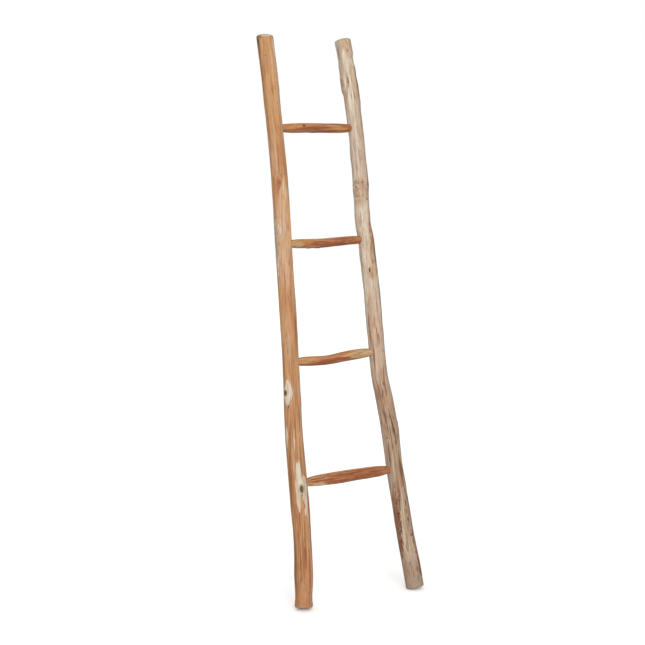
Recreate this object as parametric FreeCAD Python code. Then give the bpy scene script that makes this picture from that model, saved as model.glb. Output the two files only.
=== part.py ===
import FreeCAD, Part
import math
import os

# Decorative ladder of peeled branches, leaning back as against a wall.
# Two long stiles are joined by four rungs. Each rung end is a round tenon, glued
# into a blind mortise in its stile and pinned by a nail driven in from behind.
# Millimetres, +Z up. X runs along the rungs with the left stile on the -X side, and
# the ladder leans back towards +Y. The origin is on the floor, under the middle of
# the ladder's box. Until the last step the ladder is upright, with its feet at Z = 0.

Vector = FreeCAD.Vector

# Overall sizes
STILE_LENGTH = 1516.5        # mean of the two
TOP_STEP = 14.0              # the right stile ends this much higher than the left
FOOT_STEP = 0.8              # the right foot reaches this much further down
FOOT_SPREAD = 364.0          # between the stile centres at the feet
TOP_SPREAD = 257.5           # between the stile centres at the tops
TOP_SHIFT = -5.0             # the tops stand this much to the right of the feet
LEAN_ANGLE = 10.0            # degrees back from upright

# Stiles
STILE_DIA = 46.0
STILE_BOW = 25.0             # how far a crooked stile leaves its straight line
STILE_OVAL = 0.025           # share by which a section is out of round
STILE_TWIST = 150.0          # degrees that the oval turns from foot to top
FOOT_ARRIS = 4.0             # rounding of the sawn edge at the foot
TOP_ARRIS = 3.0              # rounding of the sawn edge at the top

# Rungs
FOOT_TO_RUNG = 316.5         # foot to the bottom rung, along the left stile
TOP_TO_RUNG = 250.5          # top rung to the top, along the left stile
BOTTOM_RUNG_DIA = 30.5
LOWER_RUNG_DIA = 26.0
UPPER_RUNG_DIA = 24.5
TOP_RUNG_DIA = 25.5
RUNG_RISE = 13.0             # the right end of a rung is higher than its left end
RUNG_BOW = 5.0               # how far a crooked rung leaves its straight line
RUNG_OVAL = 0.02
RUNG_TWIST = 60.0            # degrees that the oval turns from left to right

# Joints
TENON_DIA = 20.0
TENON_PAST_CENTRE = 10.0     # how far a tenon runs past its stile's centre line
TENON_SHOULDER = 0.4         # step from the tenon out to the rung
TENON_TAPER = 26.0           # length over which a rung grows to its full girth
SHOULDER_GAP = 1.6           # from the stile's surface to the rung's shoulder
GLUE_GAP = 0.15              # all round a tenon in its mortise
MORTISE_END_GAP = 1.5        # left free for glue beyond the tenon's end
NAIL_DIA = 2.5
NAIL_HEAD_DIA = 5.5
NAIL_HEAD_THICK = 1.2
NAIL_SET = 0.4               # how far a nail head is set below the wood
NAIL_BITE = 4.0              # how far a nail bites into the wood in front of the tenon
NAIL_POINT = 4.0             # length of a nail's point

# Natural form of the stiles, from foot to top: the share of the length, the bow
# towards +X and the bow towards +Y as shares of STILE_BOW, and the girth as a
# share of STILE_DIA.
LEFT_FORM = (
    (0.00, 0.00, 0.00, 1.03),
    (0.07, 0.29, -0.04, 1.02),
    (0.13, 0.38, -0.08, 1.00),
    (0.175, 0.34, -0.11, 1.07),
    (0.23, 0.24, -0.15, 1.04),
    (0.30, 0.15, -0.19, 1.01),
    (0.38, 0.28, -0.22, 0.98),
    (0.44, 0.37, -0.23, 0.95),
    (0.52, 0.43, -0.22, 0.98),
    (0.62, 0.47, -0.19, 0.98),
    (0.74, 0.58, -0.15, 0.98),
    (0.82, 0.48, -0.12, 0.96),
    (0.89, 0.33, -0.08, 0.945),
    (0.95, 0.16, -0.04, 0.945),
    (1.00, 0.00, 0.00, 0.955),
)
RIGHT_FORM = (
    (0.00, 0.00, 0.00, 1.04),
    (0.05, -0.20, -0.04, 1.06),
    (0.10, -0.45, -0.08, 1.01),
    (0.16, -0.63, -0.13, 1.00),
    (0.22, -0.78, -0.18, 0.99),
    (0.29, -0.76, -0.22, 1.02),
    (0.33, -0.91, -0.24, 1.035),
    (0.37, -1.16, -0.25, 1.00),
    (0.41, -1.17, -0.25, 0.965),
    (0.48, -0.90, -0.24, 0.99),
    (0.55, -0.69, -0.22, 0.99),
    (0.61, -0.59, -0.20, 0.975),
    (0.67, -0.59, -0.18, 0.95),
    (0.74, -0.25, -0.15, 0.925),
    (0.81, 0.04, -0.12, 0.93),
    (0.88, 0.15, -0.08, 0.935),
    (0.95, 0.15, -0.04, 0.99),
    (1.00, 0.00, 0.00, 0.98),
)

# Natural form of the rungs, from left to right between the two tapers: the share of
# the way, the bow upwards and the bow towards +Y as shares of RUNG_BOW, and the
# girth as a share of the rung's own diameter.
BOTTOM_FORM = (
    (0.00, 0.0, 0.0, 0.90),
    (0.30, 0.0, 0.3, 1.03),
    (0.65, 0.1, 0.4, 1.01),
    (1.00, 0.0, 0.0, 0.92),
)
LOWER_FORM = (
    (0.00, -0.3, 0.0, 0.93),
    (0.33, -1.0, -0.5, 0.95),
    (0.66, -0.3, -0.3, 1.02),
    (1.00, 0.2, 0.0, 1.00),
)
UPPER_FORM = (
    (0.00, -0.2, 0.0, 0.98),
    (0.40, -0.5, 0.4, 1.00),
    (0.70, -0.2, 0.3, 0.98),
    (1.00, 0.1, 0.0, 0.94),
)
TOP_FORM = (
    (0.00, 0.0, 0.0, 0.98),
    (0.35, 0.1, -0.4, 1.01),
    (0.70, 0.0, -0.2, 1.00),
    (1.00, 0.0, 0.0, 0.96),
)

# The rungs from the bottom up: place, diameter, share of RUNG_RISE and form.
RUNGS = (
    ("bottom", BOTTOM_RUNG_DIA, 0.6, BOTTOM_FORM),
    ("lower", LOWER_RUNG_DIA, 1.2, LOWER_FORM),
    ("upper", UPPER_RUNG_DIA, 1.0, UPPER_FORM),
    ("top", TOP_RUNG_DIA, 1.0, TOP_FORM),
)

POINT_ANGLE = 45.0           # degrees between the points of a section's smooth curve
STILE_STEP = 63.0            # about this far between the sections of a stile
RUNG_STEP = 17.0             # about this far between the sections of a rung
SMALL_SHARE = 0.001          # step along a branch for finding its direction
BEHIND = Vector(0, 1, 0)     # the side that faces the wall
UPWARDS = Vector(0, 0, 1)


def single(shape):
    """The one solid that a cut or a union leaves."""
    solid, = shape.Solids
    return solid


def slope(form, index, column):
    before = form[max(index - 1, 0)]
    after = form[min(index + 1, len(form) - 1)]
    return (after[column] - before[column]) / (after[0] - before[0])


def form_value(form, share, column):
    """One column of a form at a share of the way, on a smooth line through its rows."""
    index = 0
    while index < len(form) - 2 and share > form[index + 1][0]:
        index += 1
    low, high = form[index], form[index + 1]
    width = high[0] - low[0]
    t = (share - low[0]) / width
    rise = high[column] - low[column]
    pull = slope(form, index, column) * width
    push = slope(form, index + 1, column) * width
    curved = (3 * rise - 2 * pull - push) * t ** 2 + (pull + push - 2 * rise) * t ** 3
    return low[column] + pull * t + curved


class Branch:
    """A crooked branch, from its centre and its diameter at a share of the way along."""

    def __init__(self, centre_at, diameter_at, oval, twist):
        self.centre_at = centre_at
        self.diameter_at = diameter_at
        self.oval = oval
        self.twist = math.radians(twist)

    def axes(self, share):
        """Directions along the branch and across it at a share of the way."""
        along = self.centre_at(share + SMALL_SHARE) - self.centre_at(share - SMALL_SHARE)
        along.normalize()
        side = along.cross(BEHIND)
        side.normalize()
        return along, side, along.cross(side)

    def radius(self, share, angle):
        turn = self.twist * share
        swell = math.cos(2 * angle - turn) + math.cos(3 * angle + turn) / 2
        return self.diameter_at(share) / 2 * (1 + self.oval * swell)

    def reach(self, share, direction):
        """Distance from the centre line out to the surface."""
        along, side, other = self.axes(share)
        return self.radius(share, math.atan2(direction.dot(other), direction.dot(side)))

    def section(self, share, inset=0):
        """A slightly out-of-round closed wire, square to the branch."""
        along, side, other = self.axes(share)
        count = round(360 / POINT_ANGLE)
        points = []
        for step in range(count):
            angle = 2 * math.pi * step / count
            arm = side * math.cos(angle) + other * math.sin(angle)
            points.append(self.centre_at(share) + arm * (self.radius(share, angle) - inset))
        even = [float(step) for step in range(count + 1)]
        outline = Part.BSplineCurve()
        outline.interpolate(Points=points, PeriodicFlag=True, Parameters=even)
        return Part.Wire(outline.toShape())

    def solid(self, spaces, low=0.0, high=1.0):
        """The branch as a smooth solid through evenly spaced sections."""
        shares = [low + (high - low) * step / spaces for step in range(spaces + 1)]
        return single(Part.makeLoft([self.section(share) for share in shares], True))

    def rounded_end(self, full, end, arris):
        """The short end of the branch, where its sawn edge is rounded in two bands."""
        corner = 1 - math.sqrt(0.5)
        sections = [
            self.section(full),
            self.section(end + (full - end) * corner, arris * corner),
            self.section(end, arris),
        ]
        return single(Part.makeLoft(sections, True, True))


def round_bar(start, direction, length, diameter):
    return Part.makeCylinder(diameter / 2, length, start, direction)


def stile_branch(form, side, foot, top):
    """The crooked course of a stile from its foot to its top."""
    def centre_at(share):
        spread = FOOT_SPREAD + (TOP_SPREAD - FOOT_SPREAD) * share
        x = side * spread / 2 + TOP_SHIFT * share + STILE_BOW * form_value(form, share, 1)
        y = STILE_BOW * form_value(form, share, 2)
        return Vector(x, y, foot + (top - foot) * share)

    def diameter_at(share):
        return STILE_DIA * form_value(form, share, 3)

    return Branch(centre_at, diameter_at, STILE_OVAL, STILE_TWIST)


def make_stile(course, cuts):
    """A stile with its sawn ends rounded, bored for its tenons and nails."""
    low = FOOT_ARRIS / STILE_LENGTH
    high = 1 - TOP_ARRIS / STILE_LENGTH
    log = course.solid(round(STILE_LENGTH / STILE_STEP), low, high)
    ends = [course.rounded_end(low, 0, FOOT_ARRIS), course.rounded_end(high, 1, TOP_ARRIS)]
    return single(log.fuse(ends).cut(cuts))


def make_rung(diameter, form, left, right, left_reach, right_reach):
    """A rung between two points on the stiles' centre lines, with its two tenons."""
    across = right - left
    across.normalize()
    start = left + across * (left_reach + SHOULDER_GAP)
    end = right - across * (right_reach + SHOULDER_GAP)
    length = (end - start).Length
    taper = TENON_TAPER / length
    shoulder_girth = (TENON_DIA + 2 * TENON_SHOULDER) / diameter
    rows = [(0, 0, 0, shoulder_girth)]
    for share, bow_up, bow_y, girth in form:
        rows.append((taper + share * (1 - 2 * taper), bow_up, bow_y, girth))
    rows.append((1, 0, 0, shoulder_girth))

    def centre_at(share):
        bow = UPWARDS * form_value(rows, share, 1) + BEHIND * form_value(rows, share, 2)
        return start + across * (length * share) + bow * RUNG_BOW

    def diameter_at(share):
        return diameter * form_value(rows, share, 3)

    course = Branch(centre_at, diameter_at, RUNG_OVAL, RUNG_TWIST)
    rung = course.solid(round(length / RUNG_STEP))
    for joint, inwards, face in ((left, across, start), (right, -across, end)):
        tip = joint - inwards * TENON_PAST_CENTRE
        tenon_length = (face - tip).Length + TENON_TAPER / 2
        rung = rung.fuse(round_bar(tip, inwards, tenon_length, TENON_DIA))
    return single(rung)


def make_mortise(joint, inwards):
    """The blind hole that a tenon is glued into, open towards the other stile."""
    depth = TENON_PAST_CENTRE + MORTISE_END_GAP
    bottom = joint - inwards * depth
    return round_bar(bottom, inwards, depth + STILE_DIA, TENON_DIA + 2 * GLUE_GAP)


def make_nail(joint, back_reach):
    """A nail from behind through a tenon, and the hole and dimple that it makes."""
    forwards = -BEHIND
    head = joint + BEHIND * (back_reach - NAIL_SET)
    shank = head + forwards * NAIL_HEAD_THICK
    shank_length = (joint - shank).Length + TENON_DIA / 2 + NAIL_BITE - NAIL_POINT
    point = shank + forwards * shank_length
    nail = round_bar(head, forwards, NAIL_HEAD_THICK, NAIL_HEAD_DIA)
    nail = nail.fuse(round_bar(shank, forwards, shank_length, NAIL_DIA))
    nail = nail.fuse(Part.makeCone(NAIL_DIA / 2, 0, NAIL_POINT, point, forwards))
    nail = single(nail.removeSplitter())
    dimple = round_bar(head, BEHIND, NAIL_SET + NAIL_HEAD_DIA, NAIL_HEAD_DIA)
    return nail, single(nail.fuse(dimple))


def make_ladder():
    """Every piece of the ladder by name, with the ladder still upright."""
    left_top = STILE_LENGTH - TOP_STEP / 2
    right_top = STILE_LENGTH + TOP_STEP / 2
    left_course = stile_branch(LEFT_FORM, -1, 0, left_top)
    right_course = stile_branch(RIGHT_FORM, 1, -FOOT_STEP, right_top)
    pitch = (left_top - FOOT_TO_RUNG - TOP_TO_RUNG) / (len(RUNGS) - 1)

    rungs, nails = {}, {}
    left_cuts, right_cuts = [], []
    for step, (place, diameter, rise, form) in enumerate(RUNGS):
        left_height = FOOT_TO_RUNG + step * pitch
        right_height = left_height + rise * RUNG_RISE
        left_share = left_height / left_top
        right_share = (right_height + FOOT_STEP) / (right_top + FOOT_STEP)
        left = left_course.centre_at(left_share)
        right = right_course.centre_at(right_share)
        across = right - left
        across.normalize()
        left_reach = left_course.reach(left_share, across)
        right_reach = right_course.reach(right_share, -across)
        rung = make_rung(diameter, form, left, right, left_reach, right_reach)
        left_nail, left_hole = make_nail(left, left_course.reach(left_share, BEHIND))
        right_nail, right_hole = make_nail(right, right_course.reach(right_share, BEHIND))
        left_cuts += [make_mortise(left, across), left_hole]
        right_cuts += [make_mortise(right, -across), right_hole]
        rungs[f"{place}_rung"] = single(rung.cut([left_hole, right_hole]))
        nails[f"{place}_left_nail"] = left_nail
        nails[f"{place}_right_nail"] = right_nail
    stiles = {
        "left_stile": make_stile(left_course, left_cuts),
        "right_stile": make_stile(right_course, right_cuts),
    }
    return stiles | rungs | nails


def lean_back(ladder):
    """Lean the upright ladder back and stand it on the floor over the origin."""
    for solid in ladder.values():
        solid.rotate(Vector(0, 0, 0), Vector(1, 0, 0), -LEAN_ANGLE)
    box = Part.makeCompound(list(ladder.values())).optimalBoundingBox()
    for solid in ladder.values():
        solid.translate(Vector(-box.Center.x, -box.Center.y, -box.ZMin))


pieces = make_ladder()
lean_back(pieces)
os.makedirs("parts", exist_ok=True)
for name, solid in pieces.items():
    solid.exportStep(f"parts/{name}.step")
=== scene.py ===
"""Looks of a decorative ladder of peeled branches: shaved wood with knots, checks and sawn ends.

Each stile and rung of the frame gives a branch its course and its outline. The branch is built again as a
fine grid, rows along it and columns round it, and is then dressed: shaved flats, grooves, knots, cracks.
Metres. Along a branch is counted from a stile's foot or a rung's left end. The turn round it is in degrees:
0 faces the front, and 90 faces right on a stile and down on a rung.
"""
import math
import bpy
import numpy as np
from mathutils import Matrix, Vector
from mathutils.bvhtree import BVHTree


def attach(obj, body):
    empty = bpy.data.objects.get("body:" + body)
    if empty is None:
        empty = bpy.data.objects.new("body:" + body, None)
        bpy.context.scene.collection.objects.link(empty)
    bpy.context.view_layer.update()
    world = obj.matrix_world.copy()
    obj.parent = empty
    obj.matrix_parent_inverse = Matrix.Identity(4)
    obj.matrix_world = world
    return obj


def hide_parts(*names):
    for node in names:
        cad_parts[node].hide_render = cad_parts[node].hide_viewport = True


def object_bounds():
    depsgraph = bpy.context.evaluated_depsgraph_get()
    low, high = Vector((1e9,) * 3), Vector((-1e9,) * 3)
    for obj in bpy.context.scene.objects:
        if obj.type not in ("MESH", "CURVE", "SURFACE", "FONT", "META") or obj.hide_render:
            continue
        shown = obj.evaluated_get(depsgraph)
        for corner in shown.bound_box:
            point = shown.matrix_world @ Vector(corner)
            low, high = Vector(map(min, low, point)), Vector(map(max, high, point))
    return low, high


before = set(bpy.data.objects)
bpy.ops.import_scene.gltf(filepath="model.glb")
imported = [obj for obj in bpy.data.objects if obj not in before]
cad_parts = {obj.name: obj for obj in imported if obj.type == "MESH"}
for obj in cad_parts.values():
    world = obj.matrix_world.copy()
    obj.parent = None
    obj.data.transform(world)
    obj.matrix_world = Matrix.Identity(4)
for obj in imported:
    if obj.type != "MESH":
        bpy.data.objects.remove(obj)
cad_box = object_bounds()

MM = 0.001
FULL_TURN = 2 * math.pi

# Camera, at the photograph's place in the row's frame
CAMERA_PLACE = (-2.0180, -2.9084, 0.9486)
CAMERA_YAW = 34.306          # degrees to the right of straight ahead
CAMERA_DROP = 3.606          # degrees below the horizon
CAMERA_LENS = 73.45
CAMERA_SENSOR = 36.0

# Fineness of the grids
STILE_COLUMNS = 112
STILE_GAP = 1.84 * MM
RUNG_COLUMNS = 72
RUNG_GAP = 1.3 * MM
ARRIS_ROWS = 6
CAP_RINGS = 15

# How a branch is read from its node
LOOK_FROM = 80 * MM          # rays start this far from the centre line
LOOKS_ROUND = 36
WAVES = 3                    # an outline is a circle with this many waves on it
COURSE_STEP = 8 * MM
CLEAR_OF_END = 16 * MM
CLEAR_OF_ARRIS = 4 * MM
SAWN_MATCH = 0.96            # a face this square to the branch is its sawn end
END_ZONE = 6 * MM
STRAY = 2.5 * MM             # a hit this far from the others is a hole
FINE_STRAY = 0.4 * MM
SAW_ALLOWANCE = 0.3 * MM     # the dressed ends stop this far inside the solid

# Sawn ends
STILE_ARRIS = 4.0 * MM
LEFT_TOP_ARRIS = 1.5 * MM
RUNG_ARRIS = 1.2 * MM
SLANT_REACH = 40 * MM        # a slanted top takes this much of a stile
BARE_TENON = 34 * MM         # no wood stands proud of a rung this near to its end
BARE_PROUD = 2 * MM          # and no more than this anywhere on it
BOX_MARGIN = 0.1 * MM        # the dressed wood stays this far inside the solids' box
BOX_OVERCUT = 1.2            # arms aren't square to the box, so more is taken off
GREY_REACH = 9 * MM          # handling greys an end this far in
SAW_PITCH = 0.55 * MM
SAW_DRIFT = 7 / 3 * MM
SAW_DEPTH = 0.07 * MM
END_CRACKS = ((0.9, 0.16), (2.7, 0.10), (4.4, 0.13))    # turn and half width, in radians
END_CRACK_DEPTH = 0.9 * MM

# Grain
PITH_WANDER = 2.4 * MM
PITH_SWAY = 10.2             # radians to a metre
FLOW_STRETCH = 3.0           # grain parts this much further along than across
RINGS_TO_METRE = 480
RING_WAVER = 3.5 * MM
PALE_DEPTH = 0.35 * MM       # pale wood is where a shaving came off

# Bores and their maps
BORE_SIDES = 40
BORE_PAST = 60 * MM          # a mortise's bore starts this far outside
MORTISE_END_GAP = 1.8 * MM
MORTISE_CLEARANCE = 0.15 * MM
NAIL_CLEARANCE = 0.08 * MM
TENON_ROW = 20               # the row, from a rung's end, that gives its tenon's girth
SHARP_ANGLE = 42.0
BAKE_MAP = "OFBake"
STILE_STRIPS = 3
RUNG_STRIPS = 2
STRIP_EDGE = 0.01
STRIP_LOW = 0.02
STRIP_HEIGHT = 0.86
DISC_PLACES = (0.06, 0.18)
DISC_HEIGHT = 0.945
DISC_RADIUS = 0.045
BORE_LEFT = 0.30
BORE_WIDTH = 0.65
BORE_SHARE = 0.9             # each bore fills this much of its part of the width
BORE_LOW = 0.91
BORE_HIGH = 0.98
BORE_END_PLACE = 0.26
BORE_END_RADIUS = 0.015

# Light and floor
FLOOR_HALF = 40.0
FLOOR_TONE = 0.72            # for light that falls on the ladder
FLOOR_SEEN = 1.55            # for the camera
SKY_LIGHT = 0.50
SKY_SEEN = 1.0
SUNS = (                     # name, strength, spread in degrees and the way that it shines
    ("key", 2.0, 45, (0.44, 0.84, -0.24)),
    ("back", 0.35, 80, (-0.5, -0.8, -0.6)),
)

# First number of each branch's random draws
LEFT_SEED = 100
RIGHT_SEED = 300
RUNG_SEED = 500
RUNG_SEED_STEP = 100

# Among the masks, the darkening one also carries painted shade, the brown one painted shade under the
# rungs, and the pale one a painted highlight on the bottom rung.
MASKS = ("pale_and_highlight", "blush", "warm", "red", "brown_and_shade", "dark", "knot", "bark", "grey", "stain_and_shade", "end")


# Small helpers


def smooth(values):
    """0 below 0, 1 above 1 and a soft step between."""
    t = np.clip(values, 0, 1)
    return t * t * (3 - 2 * t)


def unit(vector):
    return vector / np.linalg.norm(vector, axis=-1, keepdims=True)


def blurred(rows, spread):
    """Rows of numbers smoothed along the first axis, with straight ends kept straight."""
    reach = int(3 * spread) + 1
    steps = np.arange(1, reach + 1)[:, None]
    before = rows[0] - (rows[1] - rows[0]) * steps[::-1]
    after = rows[-1] + (rows[-1] - rows[-2]) * steps
    padded = np.vstack((before, rows, after))
    weights = np.exp(-0.5 * (np.arange(-reach, reach + 1) / spread) ** 2)
    weights /= weights.sum()
    return np.stack([np.convolve(column, weights, "valid") for column in padded.T], axis=1)


def on_line(places, marks, line):
    """Points of a line at some places, from its points at the marks."""
    return np.stack([np.interp(places, marks, axis) for axis in line.T], axis=1)


def section_axes(along):
    """Directions to the front and to the side, square to a branch."""
    front = unit(np.array((0.0, -1.0, 0.0)) - along * (-along[..., 1:2]))
    return front, np.cross(along, front)


def wave_basis(turns):
    columns = [np.ones_like(turns)]
    for wave in range(1, WAVES + 1):
        columns += [np.cos(wave * turns), np.sin(wave * turns)]
    return np.stack(columns, axis=-1)


# Reading the branches from the frame


class Branch:
    """Course, section axes and outline of one stile or rung, on rows along it."""

    def __init__(self, node, lengthwise, columns, gap, arris):
        self.node = node
        self.columns = columns
        self.arris = arris
        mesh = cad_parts[node].data
        self.points = np.array([v.co for v in mesh.vertices])
        faces = [tuple(p.vertices) for p in mesh.polygons]
        self.tree = BVHTree.FromPolygons([v.co for v in mesh.vertices], faces)
        self.turns = FULL_TURN * np.arange(columns) / columns
        course = self.find_course(mesh, lengthwise)
        self.lay_rows(course, gap)
        self.outline = self.find_outline()

    def look(self, centre, along):
        """Wave weights of the outline round a centre, with holes and bores left out."""
        front, side = section_axes(along)
        turns = FULL_TURN * np.arange(LOOKS_ROUND) / LOOKS_ROUND
        radii = np.empty(LOOKS_ROUND)
        for index, turn in enumerate(turns):
            arm = front * math.cos(turn) + side * math.sin(turn)
            hit = self.tree.ray_cast(Vector(centre + arm * LOOK_FROM), Vector(-arm))
            radii[index] = LOOK_FROM - hit[3] if hit[3] is not None else 0
        basis = wave_basis(turns)
        sound = np.abs(radii - np.median(radii)) < STRAY
        for allowed in (STRAY, FINE_STRAY, FINE_STRAY):
            weights = np.linalg.lstsq(basis[sound], radii[sound], rcond=None)[0]
            close = np.abs(radii - basis @ weights) < allowed
            sound = close if close.sum() > LOOKS_ROUND / 2 else sound
        return weights

    def sawn_end(self, mesh, way):
        """Middle and outward direction of the flat end that faces one way."""
        flats = [p for p in mesh.polygons if p.normal.dot(Vector(way)) > SAWN_MATCH]
        reach = max(p.center.dot(Vector(way)) for p in flats)
        flats = [p for p in flats if p.center.dot(Vector(way)) > reach - END_ZONE]
        areas = np.array([p.area for p in flats])[:, None]
        normal = unit((np.array([p.normal for p in flats]) * areas).sum(0))
        middle = (np.array([p.center for p in flats]) * areas).sum(0) / areas.sum()
        return middle - normal * SAW_ALLOWANCE, normal

    def find_course(self, mesh, lengthwise):
        """Centre line from one sawn end to the other."""
        heights = self.points[:, lengthwise]
        low = self.points[heights < heights.min() + END_ZONE].mean(0)
        high = self.points[heights > heights.max() - END_ZONE].mean(0)
        rough = unit(high - low)
        self.first, self.first_way = self.sawn_end(mesh, -rough)
        self.last, self.last_way = self.sawn_end(mesh, rough)
        start = self.first @ rough + CLEAR_OF_END
        places = np.arange(start, self.last @ rough - CLEAR_OF_END, COURSE_STEP)
        front, side = section_axes(rough)
        centre = self.first
        centres = [self.first]
        for place in places:
            centre = centre + rough * (place - centre @ rough)
            for _ in range(3):
                weights = self.look(centre, rough)
                centre = centre + front * weights[1] + side * weights[2]
            centres.append(centre)
        return np.array(centres + [self.last])

    def lay_rows(self, course, gap):
        """Rows along the branch, closer together on the rounded arrises."""
        steps = np.linalg.norm(np.diff(course, axis=0), axis=1)
        marks = np.concatenate(([0], np.cumsum(steps)))
        count = round(marks[-1] / gap)
        even = np.linspace(0, marks[-1], count + 1)
        line = blurred(on_line(even, marks, course), 1.5 * COURSE_STEP / gap)
        settle = smooth(np.minimum(even, marks[-1] - even) / CLEAR_OF_END)[:, None]
        ends = np.where(even[:, None] < marks[-1] / 2, self.first - line[0], self.last - line[-1])
        line = line + ends * (1 - settle)
        way = unit(np.gradient(line, even, axis=0))
        square = np.where(even[:, None] < marks[-1] / 2, -self.first_way, self.last_way)
        way = unit(way * settle + square * (1 - settle))

        self.length = marks[-1]
        quarter = np.linspace(0, math.pi / 2, ARRIS_ROWS, endpoint=False)
        near = self.arris * (1 - np.cos(quarter))
        count = round((self.length - 2 * self.arris) / gap)
        middle = np.linspace(self.arris, self.length - self.arris, count + 1)
        self.places = np.concatenate((near, middle, self.length - near[::-1]))
        self.centres = on_line(self.places, even, line)
        self.along = unit(on_line(self.places, even, way))
        self.front, self.side = section_axes(self.along)

    def find_outline(self):
        """Distance from the centre line to the surface, for each row and column."""
        clear = self.arris + CLEAR_OF_ARRIS
        rows = np.nonzero((self.places > clear) & (self.places < self.length - clear))[0]
        weights = np.array([self.look(self.centres[row], self.along[row]) for row in rows])
        weights = blurred(weights, 1.5)
        before = np.repeat(weights[:1], rows[0], axis=0)
        after = np.repeat(weights[-1:], len(self.places) - 1 - rows[-1], axis=0)
        return np.vstack((before, weights, after)) @ wave_basis(self.turns).T

    def surface(self, radius):
        arms = (
            self.front[:, None, :] * np.cos(self.turns)[None, :, None]
            + self.side[:, None, :] * np.sin(self.turns)[None, :, None]
        )
        return self.centres[:, None, :] + arms * radius[:, :, None]


# Dressing a branch


class Skin:
    """A branch's surface as a grid that features are worked into."""

    def __init__(self, branch, seed):
        self.branch = branch
        self.seed = seed
        self.along = branch.places[:, None] + 0 * branch.turns[None, :]
        self.turn = branch.turns[None, :] + 0 * branch.places[:, None]
        self.from_end = np.minimum(self.along, branch.length - self.along)
        self.radius = branch.outline.copy()
        self.girth = branch.outline.mean(axis=1, keepdims=True)
        self.flow = np.zeros_like(self.radius)
        self.lift = np.zeros_like(self.radius)      # how far a slanted top moves a point along
        self.masks = {name: np.zeros_like(self.radius) for name in MASKS}

    def random(self):
        self.seed += 1
        return np.random.default_rng(self.seed)

    def noise(self, cell, cells_round):
        """Soft random values from -1 to 1, closed round the branch."""
        rows = int(self.branch.length / cell) + 3
        table = self.random().uniform(-1, 1, (rows, cells_round))
        a = self.along / cell
        b = self.turn / FULL_TURN * cells_round
        i, j = np.floor(a).astype(int), np.floor(b).astype(int)
        u, v = smooth(a - i), smooth(b - j)
        next_j = (j + 1) % cells_round
        low = table[i, j] * (1 - v) + table[i, next_j] * v
        high = table[i + 1, j] * (1 - v) + table[i + 1, next_j] * v
        return low * (1 - u) + high * u

    def across(self, turn):
        """Distance round the branch from a turn in degrees, to either side."""
        apart = (self.turn - math.radians(turn) + math.pi) % FULL_TURN - math.pi
        return apart * self.girth

    def refill(self, proud):
        """Put back the girth that dressing took, so that the branch keeps its mean size."""
        lost = (self.branch.outline - self.radius).mean(axis=1, keepdims=True)
        self.radius += lost + proud

    def paint(self, mask, values):
        self.masks[mask] = np.maximum(self.masks[mask], values)

    def leaf(self, along, turn, length, width, lean=0.0):
        """1 on a long pointed patch, fading to 0 at its torn edges."""
        up = self.along - along
        across = self.across(turn) - lean * up
        reach = np.abs(2 * up / length)
        half = width / 2 * np.clip(1 - reach ** 1.3, 0, 1)
        uneven = 1 + 0.40 * self.noise(45 * MM, 30) + 0.30 * self.noise(120 * MM, 56)
        soft = min(max(width / 2, 1.5 * MM), 6 * MM)
        return smooth((half * uneven - np.abs(across)) / soft + 0.5) * smooth((1 - reach) / 0.3)


def shave(skin, count, length, depth):
    """Long shallow flats, as a drawknife leaves them."""
    random = skin.random()
    for _ in range(count):
        along = random.uniform(0, skin.branch.length)
        turn = math.degrees(random.uniform(0, FULL_TURN))
        half = length * random.uniform(0.5, 1.5) / 2
        cut = depth * random.uniform(0.3, 1.0)
        rows = np.nonzero(np.abs(skin.along[:, 0] - along) < half)[0]
        window = 1 - ((skin.along[rows] - along) / half) ** 2
        apart = skin.across(turn)[rows] / skin.girth[rows]
        flat = (skin.girth[rows] - cut * np.sqrt(window)) / np.cos(np.clip(apart, -1.0, 1.0))
        near = np.abs(apart) < 0.9
        skin.radius[rows] = np.where(near, np.minimum(skin.radius[rows], flat), skin.radius[rows])


def furrow(skin, depth):
    """Gentle swellings and fine lengthwise grooves."""
    skin.radius += 0.5 * MM * (skin.noise(70 * MM, 5) - 0.4)
    skin.radius += 0.25 * MM * (skin.noise(25 * MM, 9) - 0.3)
    skin.radius -= depth * np.abs(skin.noise(90 * MM, 44))
    skin.radius -= 0.6 * depth * np.abs(skin.noise(40 * MM, 72))


def add_knot(skin, along, turn, length, width, rise, tone):
    """A branch's scar: a raised collar, a dished eye, and grain that parts round it. Sizes in mm."""
    along, length, width, rise = np.array((along, length, width, rise)) * MM
    up = skin.along - along
    across = skin.across(turn)
    reach = np.hypot(2 * up / length, 2 * across / width)
    rough = reach + 0.12 * skin.noise(2.5 * MM, 60)
    skin.radius += rise * np.exp(-((reach - 1.25) / 0.75) ** 2)
    skin.radius -= 1.1 * rise * smooth((1.05 - rough) / 0.5)
    split = np.clip(1 - np.abs(across) / (0.9 * MM), 0, 1) * (reach < 0.9)
    skin.radius -= 0.8 * rise * split
    skin.paint("knot", tone * np.clip(1 - rough / 1.5, 0, 1))
    stretched = (up / FLOW_STRETCH) ** 2 + across ** 2
    inner = (0.65 * width) ** 2
    skin.flow -= across / skin.girth * inner / np.maximum(stretched, inner)


def add_check(skin, along, turn, length, width, depth, lean=0.0):
    """A drying crack that runs with the grain. Sizes in mm."""
    along, length, width, depth = np.array((along, length, width, depth)) * MM
    up = skin.along - along
    wander = 0.8 * MM * skin.noise(22 * MM, 1)
    across = skin.across(turn) - lean * up - wander
    open_here = np.clip(1 - np.abs(2 * up / length) ** 2, 0, 1)
    groove = np.clip(1 - np.abs(across) / (width * (0.35 + 0.65 * open_here)), 0, 1) * open_here
    skin.radius -= depth * groove
    skin.paint("dark", smooth(1.4 * groove))


def swell(skin, along, turn, length, rise):
    """A broad low swelling on one side, or a hollow where the rise is negative. Sizes in mm."""
    window = smooth(1.5 * (1 - np.abs(2 * (skin.along - along * MM) / (length * MM))))
    lobe = np.clip(np.cos(skin.turn - math.radians(turn)), 0, 1) ** 2
    skin.radius += rise * MM * window * lobe


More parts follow.
